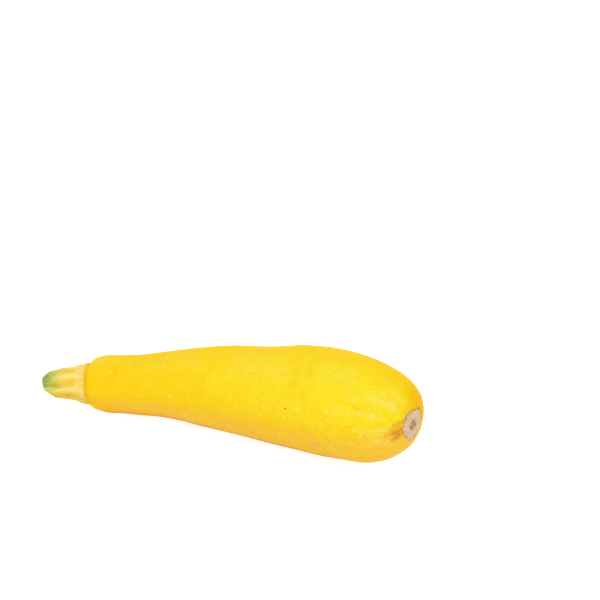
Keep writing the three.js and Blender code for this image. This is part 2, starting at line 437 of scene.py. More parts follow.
def stem_section(stem, distance, angle):
    """The stem's section: fuller on top beside the collar and leaner there towards the tip."""
    top = np.clip(np.cos(angle - math.radians(80)), 0, 1)
    fuller = 0.6 * bell(distance, 0, 1.8 * MM) + 0.45 * bell(distance, 12 * MM, 4 * MM)
    fuller = MM * (fuller - 0.8 * ramp(distance, 12 * MM, 22 * MM))
    across, upwards = round_section(stem_radius(distance, angle) + top * fuller, angle)
    return across, upwards + stem.lift * ramp(distance, 0, 6 * MM)


def cut_distance(fruit, stem, angle):
    """How far out the knife met the stem at each angle."""
    facing = unit(np.array(stem.cut_faces))
    middle = stem_spine(fruit, stem, np.array([stem.cut_at]))[0][0]
    out = np.linspace(0, stem.reach, 400)
    distance, turned = np.meshgrid(out, angle, indexing="ij")
    points = place_sections(*stem_spine(fruit, stem, distance), *stem_section(stem, distance, turned))
    return out[np.argmax((points - middle) @ facing > 0, axis=0)]


def stem_rings(fruit, stem):
    """The stub's skin as rows of points from its foot to the cut, with places and raised parts."""
    angle = angles_round(stem.sectors)
    foot = np.repeat(np.array(STEM_FOOT)[:, :1] * MM, stem.sectors, axis=1)
    rows = np.linspace(0, 1, stem.rows)[:, None]
    distance = np.vstack([foot, rows * cut_distance(fruit, stem, angle)])
    angle = np.repeat(angle[None], len(distance), axis=0)
    across, upwards = stem_section(stem, distance, angle)
    across[0] = upwards[0] = 0
    points = place_sections(*stem_spine(fruit, stem, distance), across, upwards) + frame_shift(fruit)
    straight = np.stack([-distance, across, upwards], axis=-1)
    raised = rib_shape(distance, angle) * ramp(distance, 3 * MM, 7 * MM) + collar_knobs(distance, angle)
    return points, straight, unrolled_places(distance, angle), raised


def cut_rings(stem, skin_points, skin_straight):
    """The cut, from just inside the skin's last row to its middle: a dish with bundles and fibres."""
    shares = np.concatenate([[0.985, 0.96], np.linspace(0.92, 0, 24)])[:, None]
    angle = angles_round(stem.sectors)
    rim, rim_straight = skin_points[-1], skin_straight[-1]
    straight = rim_straight.mean(axis=0) + shares[..., None] * (rim_straight - rim_straight.mean(axis=0))
    bundles = bell(shares, 0.72, 0.07) * np.cos(2 * RIBS * (angle - RIB_TURN) + 1)
    pith = bell(shares, 0, 0.3)
    fibres = wobble(straight, 1.1 * MM, seed=8) + 0.6 * wobble(straight, 0.5 * MM, seed=9)
    raised = bundles - 0.5 * pith + 0.3 * fibres * (shares < 0.98)
    height = MM * (0.2 * raised - 0.3 * (1 - shares**2))
    points = rim.mean(axis=0) + shares[..., None] * (rim - rim.mean(axis=0))
    points = points + height[..., None] * unit(np.array(stem.cut_faces))
    return points, straight, unrolled_places(shares * stem.reach / 4, angle), raised


# ---- Meshes ----


def make_piece(name, rings, finishes, node):
    """A closed mesh from rows of points round a spine. Each finish is given by the row it starts at."""
    points, straight, unrolled, raised = rings
    rows, sectors = points.shape[:2]
    first = np.arange(rows - 1)[:, None] * sectors + np.arange(sectors)
    second = np.arange(rows - 1)[:, None] * sectors + (np.arange(sectors) + 1) % sectors
    faces = np.stack([first, second, second + sectors, first + sectors], axis=-1).reshape(-1, 4)
    mesh = bpy.data.meshes.new(name)
    mesh.from_pydata(points.reshape(-1, 3).tolist(), [], faces.tolist())
    for label, values in (("straight", straight), ("unrolled", unrolled)):
        places = mesh.attributes.new(label, "FLOAT_VECTOR", "POINT")
        places.data.foreach_set("vector", values.reshape(-1).astype(np.float32))
    heights = mesh.attributes.new("raised", "FLOAT", "POINT")
    heights.data.foreach_set("value", raised.reshape(-1).astype(np.float32))
    slots = np.zeros(rows - 1, np.int32)
    for slot, (row, finish) in enumerate(finishes.items()):
        mesh.materials.append(finish)
        slots[row:] = slot
    mesh.polygons.foreach_set("material_index", np.repeat(slots, sectors))
    mesh.polygons.foreach_set("use_smooth", np.ones(len(faces), bool))
    close_ends(mesh)
    piece = bpy.data.objects.new(name, mesh)
    bpy.context.scene.collection.objects.link(piece)
    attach(piece, "root")
    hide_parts(node)
    return piece


def close_ends(mesh):
    """Joins the points of the first and of the last row, which all lie in one place."""
    shape = bmesh.new()
    shape.from_mesh(mesh)
    bmesh.ops.remove_doubles(shape, verts=shape.verts, dist=1e-7)
    bmesh.ops.recalc_face_normals(shape, faces=shape.faces)
    shape.to_mesh(mesh)
    shape.free()
    mesh.update()


# ---- Node trees ----


def from_srgb(red, green, blue):
    """A colour given in the usual 0 to 255 steps, as the linear shares that Blender works in."""

    def linear(step):
        share = step / 255
        return share / 12.92 if share <= 0.04045 else ((share + 0.055) / 1.055) ** 2.4

    return linear(red), linear(green), linear(blue)


class Graph:
    """A node tree being built. Most methods add a node and give back its output socket."""

    def __init__(self, tree):
        self.tree = tree

    def feed(self, socket, value):
        """Links a socket to an output, or sets it to a plain value."""
        if isinstance(value, bpy.types.NodeSocket):
            self.tree.links.new(value, socket)
        elif socket.type == "RGBA" and len(value) == 3:
            socket.default_value = (*value, 1)
        else:
            socket.default_value = value

    def add(self, kind, inputs=None, **settings):
        """All outputs of a new node, whose inputs are given by name or number."""
        made = self.tree.nodes.new(kind)
        for name, value in settings.items():
            setattr(made, name, value)
        for key, value in (inputs or {}).items():
            self.feed(made.inputs[key], value)
        return made.outputs

    def math(self, operation, *values):
        return self.add("ShaderNodeMath", dict(enumerate(values)), operation=operation)[0]

    def times(self, *values):
        return reduce(partial(self.math, "MULTIPLY"), values)

    def sum(self, *values):
        return reduce(partial(self.math, "ADD"), values)

    def largest(self, *values):
        return reduce(partial(self.math, "MAXIMUM"), values)

    def limit(self, value):
        """The value, kept between 0 and 1."""
        return self.add("ShaderNodeClamp", {"Value": value})[0]

    def rise(self, value, low, high, start=0.0, end=1.0):
        """Goes smoothly from start to end as value goes from low to high."""
        inputs = {"Value": value, "From Min": low, "From Max": high, "To Min": start, "To Max": end}
        return self.add("ShaderNodeMapRange", inputs, interpolation_type="SMOOTHSTEP")[0]

    def vector(self, operation, *values):
        return self.add("ShaderNodeVectorMath", dict(enumerate(values)), operation=operation)

    def split(self, place):
        return self.add("ShaderNodeSeparateXYZ", {0: place})

    def across(self, place):
        """A place without its distance along the zucchini."""
        return self.vector("MULTIPLY", place, (0, 1, 1))[0]

    def stretch(self, place, along, across):
        """A place scaled by one value along the zucchini and by another across it."""
        scale = self.add("ShaderNodeCombineXYZ", {0: along, 1: across, 2: across})[0]
        return self.vector("MULTIPLY", place, scale)[0]

    def noise(self, place, size, detail=2.0):
        """Cloudy noise round a half, with features of about that size in metres."""
        inputs = {"Vector": place, "Scale": 1 / size, "Detail": detail, "Roughness": 0.5}
        return self.add("ShaderNodeTexNoise", inputs)[0]

    def use(self, name, **inputs):
        """The output of a shared group, which is made on its first use. Its inputs are given by name."""
        made = self.tree.nodes.new("ShaderNodeGroup")
        made.node_tree = bpy.data.node_groups.get(name) or GROUP_MAKERS[name]()
        for key, value in inputs.items():
            self.feed(made.inputs[key.capitalize()], value)
        return made.outputs[0]


def new_group(name, vectors, numbers):
    """An empty shader group with named inputs and one number out, as a Graph, inputs and output."""
    tree = bpy.data.node_groups.new(name, "ShaderNodeTree")
    for label in vectors:
        tree.interface.new_socket(name=label, in_out="INPUT", socket_type="NodeSocketVector")
    for label in numbers:
        tree.interface.new_socket(name=label, in_out="INPUT", socket_type="NodeSocketFloat")
    tree.interface.new_socket(name="Value", in_out="OUTPUT", socket_type="NodeSocketFloat")
    entry = tree.nodes.new("NodeGroupInput")
    leave = tree.nodes.new("NodeGroupOutput")
    return Graph(tree), entry.outputs, leave.inputs[0]


def stroke_group():
    """A soft mark along a line: 1 within the core of it, and 0 beyond the edge."""
    graph, given, result = new_group("Stroke", ("Place", "Start", "Line"), ("Core", "Edge"))
    offset = graph.vector("SUBTRACT", given["Place"], given["Start"])[0]
    reach = graph.vector("DOT_PRODUCT", given["Line"], given["Line"])["Value"]
    share = graph.math("DIVIDE", graph.vector("DOT_PRODUCT", offset, given["Line"])["Value"], reach)
    inputs = {0: given["Line"], "Scale": graph.limit(share)}
    nearest = graph.add("ShaderNodeVectorMath", inputs, operation="SCALE")[0]
    gap = graph.vector("DISTANCE", offset, nearest)["Value"]
    graph.feed(result, graph.rise(gap, given["Core"], given["Edge"], 1.0, 0.0))
    return graph.tree


def grain_group():
    """Irregular threads that run along the zucchini, round a half."""
    graph, given, result = new_group("Grain", ("Place",), ("Width", "Length", "Detail"))
    across = graph.math("DIVIDE", 1.0, given["Width"])
    along = graph.math("DIVIDE", 1.0, given["Length"])
    place = graph.stretch(given["Place"], along, across)
    graph.feed(result, graph.noise(place, 1.0, given["Detail"]))
    return graph.tree


def dots_group():
    """Scattered dots of varied size, Length times as long as they are wide."""
    graph, given, result = new_group("Dots", ("Place",), ("Spacing", "Length", "Share", "Size"))
    across = graph.math("DIVIDE", 1.0, given["Spacing"])
    along = graph.math("DIVIDE", across, given["Length"])
    place = graph.stretch(given["Place"], along, across)
    cells = graph.add("ShaderNodeTexVoronoi", {"Vector": place, "Scale": 1.0})
    chance = graph.split(cells["Color"])
    chosen = graph.math("LESS_THAN", chance[0], given["Share"])
    size = graph.times(given["Size"], graph.rise(chance[1], 0.0, 1.0, 0.5, 1.0))
    dot = graph.rise(cells["Distance"], graph.times(size, 0.3), size, 1.0, 0.0)
    graph.feed(result, graph.times(dot, chosen))
    return graph.tree


def side_group():
    """The side of the zucchini that faces a direction: 1 where the cosine between is Near, 0 at Far."""
    graph, given, result = new_group("Side", ("Place", "Towards"), ("Far", "Near"))
    outwards = graph.vector("NORMALIZE", graph.across(given["Place"]))[0]
    facing = graph.vector("DOT_PRODUCT", outwards, given["Towards"])["Value"]
    graph.feed(result, graph.rise(facing, given["Far"], given["Near"]))
    return graph.tree


GROUP_MAKERS = {"Stroke": stroke_group, "Grain": grain_group, "Dots": dots_group, "Side": side_group}


class Finish(Graph):
    """A material with one Principled shader, whose colour is laid on in layers, the lowest first."""

    def __init__(self, name, colour):
        self.material = bpy.data.materials.new(name)
        self.material.use_nodes = True
        super().__init__(self.material.node_tree)
        self.shader = self.tree.nodes["Principled BSDF"].inputs
        self.colour = colour

    def attribute(self, name, output="Vector"):
        return self.add("ShaderNodeAttribute", attribute_name=name)[output]

    @cached_property
    def place(self):
        """The place on the zucchini as if it lay straight along X."""
        return self.attribute("straight")

    @cached_property
    def grown(self):
        """The place on the unrolled skin, where grain is equally wide all along."""
        return self.attribute("unrolled")

    @cached_property
    def raised(self):
        """How far the surface stands out from its mean section."""
        return self.attribute("raised", "Fac")

    @cached_property
    def distance(self):
        """The distance along the straight spine, from the stem joint."""
        return self.split(self.place)[0]

    @cached_property
    def radius(self):
        """The distance out from the straight spine."""
        return self.vector("LENGTH", self.across(self.place))["Value"]

    def facing(self, degrees, far, near):
        """The side that faces an angle from +Y upwards: 1 where the cosine between is near, 0 at far."""
        turned = math.radians(degrees)
        direction = (0, math.cos(turned), math.sin(turned))
        return self.use("Side", place=self.place, towards=direction, far=far, near=near)

    def lay(self, colour, *shares):
        """Lays a colour over the ones below, as strongly as the product of the shares says."""
        inputs = {0: self.times(*shares), 6: self.colour, 7: colour}
        self.colour = self.add("ShaderNodeMix", inputs, data_type="RGBA")[2]

    def set(self, inputs):
        """Sets inputs of the shader, given by name."""
        for name, value in inputs.items():
            self.feed(self.shader[name], value)

    def let_light_in(self, weight, radius):
        """Lets a little light spread under the surface, furthest in red."""
        self.set({"Subsurface Weight": weight, "Subsurface Radius": radius, "Subsurface Scale": 1.0})

    def complete(self, roughness, gloss, height, highest):
        """The material, with its shader set. A height of 1 raises the surface by highest."""
        bump = self.add("ShaderNodeBump", {"Height": height, "Distance": highest, "Strength": 1.0})[0]
        self.set({"Base Color": self.colour, "Roughness": roughness, "Normal": bump})
        self.set({"Specular IOR Level": gloss})
        return self.material


# ---- Marks ----


def skin_place(outline, distance, angle):
    """A straight place on a skin of that outline, from the distance in mm and angle in degrees."""
    columns = np.array(outline)
    radius = float(np.interp(distance, columns[:, 0], columns[:, 1]))
    turned = math.radians(angle)
    return Vector((distance, radius * math.cos(turned), radius * math.sin(turned))) * MM


def cut_short(strokes, turn=8):
    """Strokes cut into pieces that go no more than a few degrees round, to follow the skin closely."""
    pieces = []
    for start, end, width, strength in strokes:
        steps = math.ceil(abs(end[1] - start[1]) / turn) + 1
        points = np.linspace(start, end, steps + 1)
        pieces += [(begin, finish, width, strength) for begin, finish in zip(points, points[1:])]
    return pieces


def as_strokes(spots):
    """Spots of (distance, angle, length, width, strength) as short strokes along the zucchini."""
    made = []
    for distance, angle, length, width, strength in spots:
        half = max(length - width, 0.1) / 2
        made.append(((distance - half, angle), (distance + half, angle), width * 1.5, strength))
    return made


def draw_strokes(rind, strokes, core=0.0, place=None):
    """The strongest of several strokes at each place. Each is (start, end, width, strength)."""
    masks = []
    for start, end, width, strength in strokes:
        begin = skin_place(FRUIT_OUTLINE, *start)
        line = skin_place(FRUIT_OUTLINE, *end) - begin
        edge = width / 2 * MM
        reach = {"core": edge * core, "edge": edge}
        stroke = rind.use("Stroke", place=place or rind.place, start=begin, line=line, **reach)
        masks.append(rind.times(stroke, strength))
    return rind.largest(*masks)


def torn_place(rind):
    """The place, moved a little every which way, for marks with torn edges."""
    inputs = {"Vector": rind.place, "Scale": 700.0, "Detail": 2.0}
    noise = rind.add("ShaderNodeTexNoise", inputs)["Color"]
    way = rind.vector("SUBTRACT", noise, (0.5, 0.5, 0.5))[0]
    offset = rind.vector("MULTIPLY", way, (TORN_WIDTH, TORN_WIDTH, TORN_WIDTH))[0]
    return rind.vector("ADD", rind.place, offset)[0]


# ---- Rind ----


def rind_finish(fruit):
    """Satin yellow skin: mottled and finely grained, with pale flecks, spots, scratches and a scuff, and
    painted sheen, shade and warm reflections.
    """
    rind = Finish("rind", fruit.gold)
    clouds = rind.noise(rind.place, 0.009, 3.0)
    threads = rind.use("Grain", place=rind.grown, width=0.0006, length=0.0022, detail=3.0)
    streaks = rind.use("Grain", place=rind.grown, width=0.0012, length=0.006, detail=3.0)
    patchy = rind.times(rind.rise(streaks, 0.35, 0.65, 0.3, 1.5), rind.rise(clouds, 0.35, 0.65, 0.6, 1.3))
    end = blossom_end(rind)
    lay_ground_and_painted_light(rind, fruit, clouds, threads)
    lay_deeper_parts(rind, fruit, end)
    lay_sheen_and_dots(rind, fruit, patchy)
    lay_hidden_side(rind, fruit, patchy)
    flecks = as_strokes((*fleck, strength) for strength, group in FLECKS.items() for fleck in group)
    # Pale flecks and streaks, some of the streaks being painted sheen lines.
    pale_marks = draw_strokes(rind, flecks + PALE_STREAKS)
    rind.lay(fruit.fleck, pale_marks)
    lay_seared_rim(rind, fruit, end)
    worn = lay_wear(rind, fruit, threads)
    spots = draw_strokes(rind, as_strokes(SPOTS))
    rind.lay(fruit.spot, spots)

    rind.set({"Specular Tint": fruit.sheen})
    rind.let_light_in(fruit.translucency, (0.004, 0.002, 0.0004))
    haze = rind.noise(rind.place, 0.005)
    roughness = rind.sum(rind.rise(haze, 0.3, 0.7, 0.4, 0.5), rind.times(worn, 0.2))
    pebble = rind.noise(rind.place, 0.0011)
    raised = (rind.times(pebble, 0.4), threads, rind.times(pale_marks, 0.5), rind.times(spots, -1.0))
    return rind.complete(roughness, gloss=0.025, height=rind.sum(*raised), highest=0.00005)


def blossom_end(rind):
    """The skin round the blossom end: its far side, and above the scar, where orange is laid as a painted
    warm reflection.
    """
    far_side = rind.times(rind.rise(rind.distance, 0.1555, 0.1625), rind.facing(40, 0.45, 0.95))
    over_scar = rind.times(rind.rise(rind.distance, 0.161, 0.1625), rind.facing(80, 0.25, 0.9), 0.8)
    return rind.largest(far_side, over_scar)


def lay_ground_and_painted_light(rind, fruit, clouds, threads):
    """The colours that the rind ripened to, softly mottled along the lines that it grew, with painted
    light on its upper front, painted shade and bounce light low down and a painted warm reflection on
    top.
    """
    # Painted light: lemon on the side facing up and to the front, more of it towards the blossom end.
    ripeness = rind.rise(rind.distance, 0.0, 0.14, 0.3, 1.0)
    rind.lay(fruit.lemon, rind.facing(128, 0.3, 0.97), ripeness)
    # Painted shade and painted bounce light from the table: a deeper orange with more blue on the low
    # side.
    rind.lay(fruit.low_side_painted_shade, rind.facing(235, 0.45, 0.9), 0.85)
    rind.lay(fruit.gold, rind.rise(clouds, 0.5, 0.75, 0.0, 0.4))
    rind.lay(fruit.lemon, rind.rise(clouds, 0.5, 0.25, 0.0, 0.35))
    mottle = rind.use("Grain", place=rind.grown, width=0.0022, length=0.0042, detail=2.0)
    rind.lay(fruit.gold, rind.rise(mottle, 0.5, 0.78, 0.0, 0.45))
    rind.lay(fruit.lemon, rind.rise(mottle, 0.5, 0.25, 0.0, 0.45))
    # Painted reflection: a warm gold without blue over the top past the neck, for warm surroundings
    # reflected there.
    past_neck = rind.rise(rind.distance, 0.02, 0.09)
    rind.lay(fruit.top_painted_reflection, rind.facing(48, 0.5, 0.97), past_neck, rind.rise(mottle, 0.3, 0.65, 0.7, 1.0))
    rind.lay(fruit.orange, rind.rise(threads, 0.5, 0.75, 0.0, 0.3))
    rind.lay(fruit.pale, rind.rise(threads, 0.5, 0.25, 0.0, 0.12))


def lay_deeper_parts(rind, fruit, end):
    """Deeper colours: painted shade underneath and in the crease at the stem, a painted warm reflection
    at the blossom end, and blotches.
    """
    # Painted shade: a tanner strip along the underside, fading out towards the blossom end.
    before_belly = rind.rise(rind.distance, 0.11, 0.15, 0.8, 0.0)
    rind.lay(fruit.shade, rind.facing(242, 0.9, 0.985), before_belly)
    # Painted shade and a painted warm reflection in some of these strokes, blotches in the rest.
    rind.lay(fruit.orange, draw_strokes(rind, DEEP), 0.6)
    # Painted reflection: warm orange round the far side and top of the blossom end.
    rind.lay(fruit.orange, end, 0.6)
    # Painted shade: orange in the crease where the stem meets the fruit.
    crease = rind.rise(rind.distance, 0.001, 0.0024, 1.0, 0.0)
    rind.lay(fruit.orange, crease, 0.65)


def lay_sheen_and_dots(rind, fruit, patchy):
    """Painted sheen in pale streaky patches, and fine pale dots."""
    # Painted sheen: pale streaky patches where soft highlights fall.
    rind.lay(fruit.sheen_and_bloom, draw_strokes(rind, PAINTED_SHEEN), patchy)
    fine = rind.use("Dots", place=rind.grown, spacing=0.0015, length=1.5, share=0.5, size=0.42)
    off_the_top = rind.facing(52, 0.98, 0.7)
    rind.lay(fruit.fleck, fine, off_the_top, 0.1)
    loose = rind.use("Dots", place=rind.grown, spacing=0.0046, length=1.5, share=0.45, size=0.16)
    thicker_to_end = rind.rise(rind.distance, 0.04, 0.15, 0.3, 1.0)
    rind.lay(fruit.fleck, loose, thicker_to_end, 0.13)


def lay_hidden_side(rind, fruit, patchy):
    """Scattered flecks, paler patches and pits on the far side, where none are placed one by one."""
    behind = rind.facing(332, 0.02, 0.3)
    flecks = rind.use("Dots", place=rind.grown, spacing=0.0066, length=1.6, share=0.7, size=0.16)
    rind.lay(fruit.fleck, flecks, behind, 0.55)
    patches = rind.noise(rind.place, 0.016, 3.0)
    rind.lay(fruit.sheen_and_bloom, rind.rise(patches, 0.5, 0.75, 0.0, 0.08), behind, patchy)
    pits = rind.use("Dots", place=rind.grown, spacing=0.0165, length=1.2, share=0.4, size=0.05)
    rind.lay(fruit.spot, pits, behind, 0.7)


def lay_seared_rim(rind, fruit, end):
    """The browned edge of the skin round the scar."""
    blots = rind.noise(rind.place, 0.0016)
    seared = rind.sum(rind.rise(blots, 0.42, 0.62), rind.times(end, 0.5))
    rim = rind.rise(rind.radius, 0.0083, 0.0073, 0.0, 0.7)
    rind.lay(fruit.scuff, rind.limit(rind.times(rim, seared, rind.rise(rind.distance, 0.155, 0.16))))


def lay_wear(rind, fruit, threads):
    """The bruise, the scratches and the scuff. Gives back how worn the skin is."""
    rind.lay(fruit.bruise, draw_strokes(rind, cut_short(BRUISE)))
    scratches = draw_strokes(rind, cut_short(SCRATCHES))
    rind.lay(fruit.scratch, scratches)
    torn = rind.rise(threads, 0.36, 0.62, 0.75, 1.3)
    place = torn_place(rind)
    scuff = rind.times(draw_strokes(rind, SCUFF, 0.25, place), torn)
    rind.lay(fruit.scuff, rind.limit(scuff))
    rind.lay(fruit.scuff_core, draw_strokes(rind, SCUFF_CORE, 0.3, place), torn)
    return rind.largest(scuff, scratches)


# ---- Cork and stem ----


def scar_finish(scar):
    """Dry cork: cream with browner clouds, painted shade in the notches of its rim, and dark round its
    navel.
    """
    cork = Finish("blossom_scar", scar.cork)
    cloud = cork.noise(cork.place, 0.0018, 3.0)
    cork.lay(scar.cork_dark, cork.rise(cloud, 0.35, 0.65))
    speckle = cork.noise(cork.place, 0.0006, 2.0)
    cork.lay(scar.pink, cork.rise(speckle, 0.5, 0.7, 0.0, 0.5))
    at_rim = cork.rise(cork.radius, 0.0052, 0.0064)
    cork.lay(scar.pink, at_rim, 0.8)
    navel = cork.rise(cork.radius, 0.0022, 0.0031, 1.0, 0.0)
    cork.lay(scar.tan, navel, cork.rise(cork.raised, 0.15, -0.35), 0.95)
    sunk = cork.sum(cork.raised, cork.times(cork.math("SUBTRACT", speckle, 0.5), 0.8))
    # Painted shade in the rim's notches, stronger on the side away from +Y.
    shaded_side = cork.math("SUBTRACT", 1.0, cork.facing(0, -0.2, 0.6))
    cork.lay(scar.notch, at_rim, cork.rise(sunk, 0.1, -0.5), shaded_side, 0.85)
    cork.lay(scar.brown, navel, cork.rise(sunk, -0.4, -1.0), 0.75)
    fibres = cork.use("Grain", place=cork.place, width=0.0004, length=0.0012, detail=3.0)
    roughness = cork.rise(cloud, 0.3, 0.7, 0.7, 0.9)
    return cork.complete(roughness, gloss=0.2, height=fibres, highest=0.0001)


def stem_finish(stem):
    """Ribbed stem: pale ribs, deep yellow valleys, cream knobs at the collar and a green tip."""
    skin = Finish("stem", stem.yellow)
    out = skin.math("MULTIPLY", skin.distance, -1.0)
    streaks = skin.use("Grain", place=skin.grown, width=0.0021, length=0.012, detail=3.0)
    threads = skin.use("Grain", place=skin.grown, width=0.0011, length=0.005, detail=2.0)
    mottle = skin.noise(skin.place, 0.0016)
    # The stem's low side, where tan is laid as painted shade.
    under = skin.facing(206, 0.93, 0.99)
    lay_ribs(skin, stem, out, streaks, mottle, under)
    lay_green_tip(skin, stem, out, streaks, threads)
    lay_collar(skin, stem, out, mottle, under)
    start = skin_place(STEM_OUTLINE, *STEM_SPOT)
    start.x = -start.x
    line = (0.0006, 0, 0)
    spot = skin.use("Stroke", place=skin.place, start=start, line=line, core=0.0002, edge=0.0008)
    skin.lay(stem.spot, spot, 0.75)

    skin.let_light_in(0.08, (0.002, 0.0015, 0.0004))
    roughness = skin.rise(streaks, 0.3, 0.7, 0.5, 0.65)
    height = skin.sum(streaks, skin.times(threads, 0.8))
    return skin.complete(roughness, gloss=0.2, height=height, highest=0.00016)


def lay_ribs(skin, stem, out, streaks, mottle, under):
    """Pale ribs with cream flecks, deeper valleys between them, and painted shade in tan on the low side.
    """
    skin.lay(stem.pale, skin.rise(skin.raised, -0.3, 0.6))
    skin.lay(stem.pale, skin.rise(streaks, 0.5, 0.68, 0.0, 0.5))
    skin.lay(stem.knob, skin.rise(mottle, 0.48, 0.64), skin.rise(skin.raised, -0.2, 0.5), 0.4)
    valley = skin.rise(skin.raised, -0.1, -0.75)
    skin.lay(stem.deep, valley, skin.rise(out, 0.008, 0.015, 1.0, 0.0), 0.9)
    # Painted shade: tan along the stem's low side.
    skin.lay(stem.tan, under, skin.rise(out, 0.003, 0.007), 0.6)
    skin.lay(stem.tan, skin.facing(240, 0.8, 0.96), 0.5)


def lay_green_tip(skin, stem, out, streaks, threads):
    """The green towards the tip, in ragged streaks that start further out on the low side."""
    ragged = skin.times(skin.math("SUBTRACT", streaks, 0.5), 0.014)
    tip = skin.sum(out, ragged, skin.times(skin.facing(190, 0.7, 0.95), -0.0026))
    skin.lay(stem.green, skin.rise(tip, 0.0115, 0.0185), 0.75)
    skin.lay(stem.dark_green, skin.rise(threads, 0.46, 0.62), skin.rise(tip, 0.0095, 0.016), 0.5)
    groove = skin.facing(154, 0.97, 0.998)
    skin.lay(stem.dark_green, groove, skin.rise(out, 0.009, 0.015), 0.45)
    light = skin.times(skin.rise(streaks, 0.5, 0.34), skin.rise(out, 0.012, 0.017))
    skin.lay(stem.pale, light, skin.rise(skin.raised, -0.4, 0.4), 0.55)
    skin.lay(stem.dark_green, skin.rise(tip, 0.0165, 0.022), 0.75)


def lay_collar(skin, stem, out, mottle, under):
    """The cream band where the stem meets the fruit, with its knobs, painted shade on its low side, and
    painted shade in the deep crease at its foot.
    """
    band = skin.sum(out, skin.times(skin.math("SUBTRACT", mottle, 0.5), 0.0016))
    collar = skin.times(skin.rise(band, 0.0044, 0.006, 1.0, 0.0), skin.rise(band, 0.0004, 0.0018))
    skin.lay(stem.collar, collar, 0.6)
    knobs = skin.use("Dots", place=skin.place, spacing=0.0024, length=1.0, share=0.8, size=0.6)
    skin.lay(stem.knob, collar, knobs, 0.85)
    skin.lay(stem.knob, collar, skin.rise(skin.raised, 0.3, 1.2), 0.4)
    # Painted shade: tan on the collar's low side.
    skin.lay(stem.tan, collar, under, 0.6)
    # Painted shade: deep yellow in the crease at the stem's foot.
    crease = skin.rise(out, 0.0002, 0.0016, 1.0, 0.0)
    skin.lay(stem.deep, crease, 0.7)


def cut_finish(stem):
    """The knife's cut: pale pith, greener flesh round it, and a ring of darker bundles."""
    cut = Finish("stem_cut", stem.pith)
    cloud = cut.noise(cut.place, 0.0012, 3.0)
    cut.lay(stem.pale, cut.rise(cloud, 0.4, 0.65))
    cut.lay(stem.green, cut.rise(cut.radius, 0.0028, 0.0056, 0.0, 0.5))
    bundles = cut.use("Dots", place=cut.place, spacing=0.0011, length=1.0, share=0.7, size=0.42)
    in_ring = cut.rise(cut.radius, 0.0036, 0.0044), cut.rise(cut.radius, 0.0052, 0.006, 1.0, 0.0)
    cut.lay(stem.dark_green, bundles, *in_ring, 0.6)
    cut.lay(stem.tan, cut.rise(cut.raised, 0.3, 1.0, 0.0, 0.5))
    cut.lay(stem.dark_green, cut.rise(cut.radius, 0.0058, 0.0067, 0.0, 0.85))
    roughness = cut.rise(cloud, 0.3, 0.7, 0.55, 0.75)
    fibres = cut.noise(cut.place, 0.0005, 3.0)
    return cut.complete(roughness, gloss=0.25, height=fibres, highest=0.0001)


# ---- Stage ----


def aim(thing, at, target):
    thing.location = at
    thing.rotation_euler = (Vector(target) - Vector(at)).to_track_quat("-Z", "Y").to_euler()


def add_lamp(name, at, size, power):
    """A soft rectangular lamp that shines on the zucchini."""
    lamp = bpy.data.lights.new(name, "AREA")
    lamp.shape = "RECTANGLE"
    lamp.size, lamp.size_y = size
    lamp.energy = power
    thing = bpy.data.objects.new(name, lamp)
    bpy.context.scene.collection.objects.link(thing)
    aim(thing, at, (0, 0, 0.02))


def seen_directly(graph):
    """1 for a ray from the camera, off gloss or through glass, and 0 for one that lights a surface."""
    path = graph.add("ShaderNodeLightPath")
    seen = graph.sum(path["Is Camera Ray"], path["Is Glossy Ray"], path["Is Transmission Ray"])
    return graph.limit(seen)


def make_world(stage):
    """A plain white surround that lights the table softly, and looks white where it is seen."""
    world = bpy.data.worlds.new("surround")
    bpy.context.scene.world = world
    world.use_nodes = True
    graph = Graph(world.node_tree)
    background = world.node_tree.nodes["Background"].inputs
    background["Color"].default_value = (1, 1, 1, 1)
    seen = seen_directly(graph)
    graph.feed(background["Strength"], graph.largest(seen, stage.surround))


def make_floor(stage):
    """A white table that keeps the zucchini's shadow."""
    half = stage.floor_size / 2
    corners = [(-half, -half, 0), (half, -half, 0), (half, half, 0), (-half, half, 0)]
    mesh = bpy.data.meshes.new("table")
    mesh.from_pydata(corners, [], [(0, 1, 2, 3)])
    floor = bpy.data.objects.new("table", mesh)
    bpy.context.scene.collection.objects.link(floor)
    top = Finish("table", stage.floor_colour)
    top.set({"Base Color": top.colour, "Roughness": 0.9, "Specular IOR Level": 0.0})
    lift = top.times(seen_directly(top), stage.floor_lift)
    top.set({"Emission Color": (1, 1, 1), "Emission Strength": lift})
    mesh.materials.append(top.material)


def make_camera(stage):
    """A long lens that looks down on the table."""
    turned, tilt = stage.azimuth, stage.elevation
    level = math.cos(tilt)
    back = Vector((math.sin(turned) * level, -math.cos(turned) * level, math.sin(tilt)))
    target = Vector(stage.look_at)
    camera = bpy.data.objects.new("camera", bpy.data.cameras.new("camera"))
    bpy.context.scene.collection.objects.link(camera)
    camera.data.lens = stage.lens
    camera.data.sensor_width = SENSOR_WIDTH
    aim(camera, target + back * stage.distance, target)
    bpy.context.scene.camera = camera


# ---- Settings ----


def length(name, description, default):
    return FloatProperty(name=name, description=description, default=default, unit="LENGTH", precision=4)


def turn(name, description, degrees):
    default = math.radians(degrees)
    return FloatProperty(name=name, description=description, default=default, subtype="ANGLE")


def share(name, description, default):
    limits = {"min": 0, "max": 1, "subtype": "FACTOR"}
    return FloatProperty(name=name, description=description, default=default, **limits)


def count(name, description, default):
    return IntProperty(name=name, description=description, default=default, min=8)


def power(name, description, default):
    return FloatProperty(name=name, description=description, default=default, min=0, unit="POWER")


def colour(name, description, *steps):
    limits = {"min": 0, "max": 1, "subtype": "COLOR"}
    return FloatVectorProperty(name=name, description=description, default=from_srgb(*steps), **limits)


